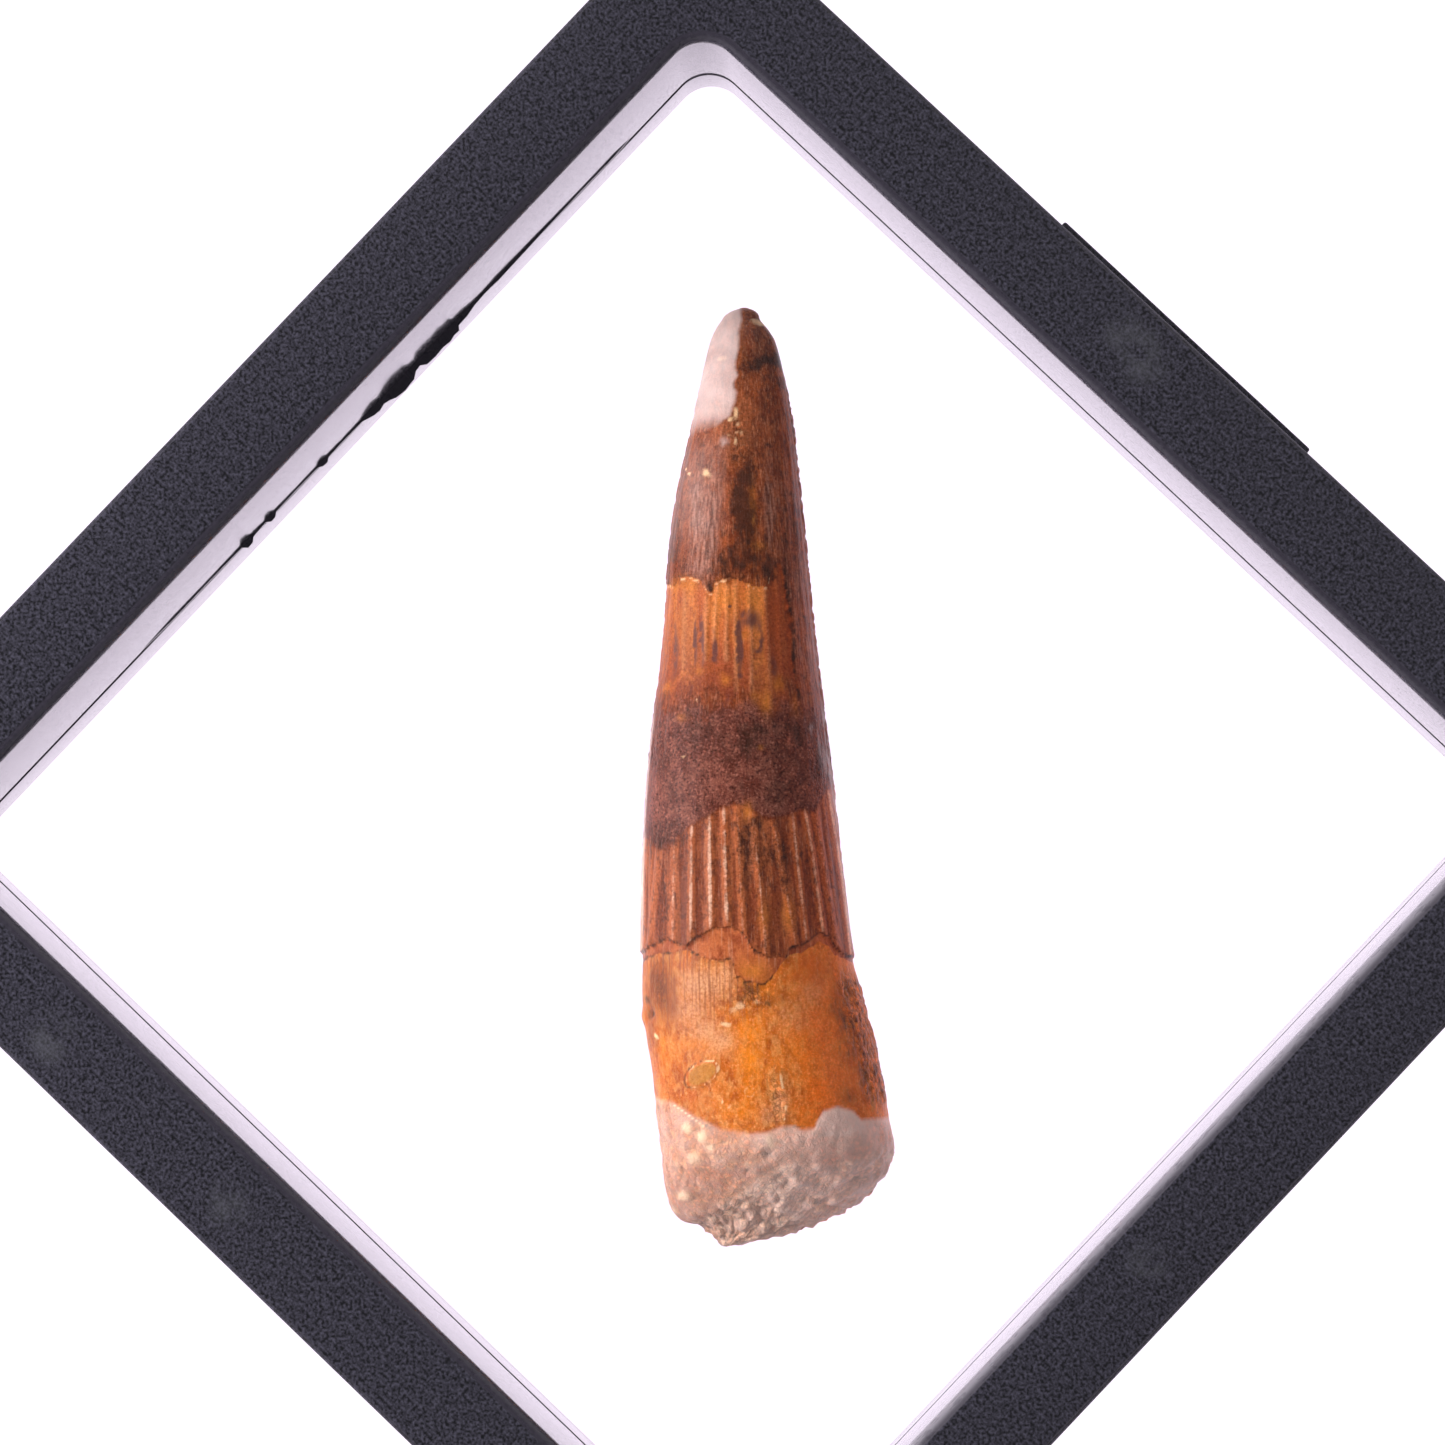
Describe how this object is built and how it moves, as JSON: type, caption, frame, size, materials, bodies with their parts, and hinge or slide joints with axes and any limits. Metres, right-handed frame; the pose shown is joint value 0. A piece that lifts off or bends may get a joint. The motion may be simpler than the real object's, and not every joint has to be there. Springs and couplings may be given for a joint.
{
  "type": "framed spinosaurus tooth",
  "caption": "Fossil spinosaurus tooth held between two stretched clear films in a hinged square case with a finger tab.",
  "frame": {"origin": "middle of the shut case on its back face, level with what it lies on", "axes": "+Z from the back face to the front face; the hinge is on the +Y side, the finger tab on the -Y side, and the tooth's tip points to the +X -Y corner"},
  "size_m": [0.11, 0.1142, 0.02],
  "materials": {
    "case_plastic": "black moulded plastic with a fine speckled texture on its faces and smooth inner walls",
    "clear_film": "clear elastic film, glossy and stretched smooth",
    "fossil": "brown and amber fossil enamel and root, with granular grey-brown sediment on the broken base"
  },
  "bodies": {
    "base": {"back_frame": "case_plastic", "back_membrane": "clear_film", "tooth": "fossil"},
    "lid": {"front_frame": "case_plastic", "front_membrane": "clear_film"}
  },
  "joints": [
    {"name": "lid_hinge", "type": "hinge", "parent": "base", "child": "lid", "pos_m": [0, 0.0557, 0.00625], "axis": [-1, 0, 0], "range_deg": [0, 115]}
  ]
}
